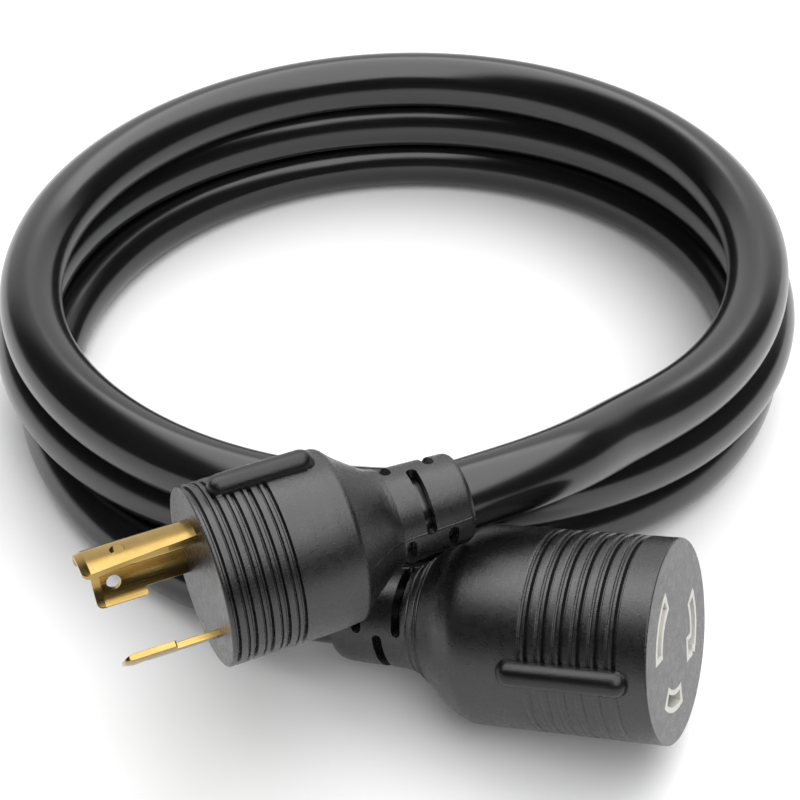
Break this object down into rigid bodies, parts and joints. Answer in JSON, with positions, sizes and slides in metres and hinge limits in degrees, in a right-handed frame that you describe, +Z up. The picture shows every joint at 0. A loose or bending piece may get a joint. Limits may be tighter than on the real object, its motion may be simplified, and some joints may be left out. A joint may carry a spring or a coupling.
{
  "type": "shore power cord",
  "caption": "Coiled heavy-duty power cord with a moulded locking plug on one end and a matching moulded locking connector on the other, lying in stacked turns.",
  "frame": {"origin": "on the floor under the centre of the coil's top turn", "axes": "+Z up; -Y is the front, where both moulded ends lie, the plug's blades pointing to -X and the connector's face to +X"},
  "size_m": [0.2024, 0.2492, 0.0692],
  "materials": {
    "jacket": "satin extruded jacket",
    "overmould": "fine spark-eroded grain",
    "inner_mould": "plain",
    "nylon": "smooth",
    "blade_brass": "bright",
    "contact_brass": "plain",
    "spring_steel": "plain",
    "tinned_crimp": "plain",
    "copper": "stranded copper",
    "core_green": "smooth",
    "core_black": "smooth",
    "core_white": "smooth"
  },
  "bodies": {
    "root": {"cord_jacket": "jacket", "plug_body": "overmould", "plug_bridge": "nylon", "plug_inner_mould": "inner_mould", "plug_ground_blade": "blade_brass", "plug_neutral_blade": "blade_brass", "plug_hot_blade": "blade_brass", "plug_crimp_barrels": "tinned_crimp", "plug_ground_core": "core_green", "plug_neutral_core": "core_white", "plug_hot_core": "core_black", "plug_copper_ends": "copper", "connector_body": "overmould", "connector_face_insert": "nylon", "connector_rear_cover": "nylon", "connector_inner_mould": "inner_mould", "connector_ground_contact": "contact_brass", "connector_neutral_contact": "contact_brass", "connector_hot_contact": "contact_brass", "connector_contact_springs": "spring_steel", "connector_crimp_barrels": "tinned_crimp", "connector_ground_core": "core_green", "connector_neutral_core": "core_white", "connector_hot_core": "core_black", "connector_copper_ends": "copper"}
  },
  "joints": []
}
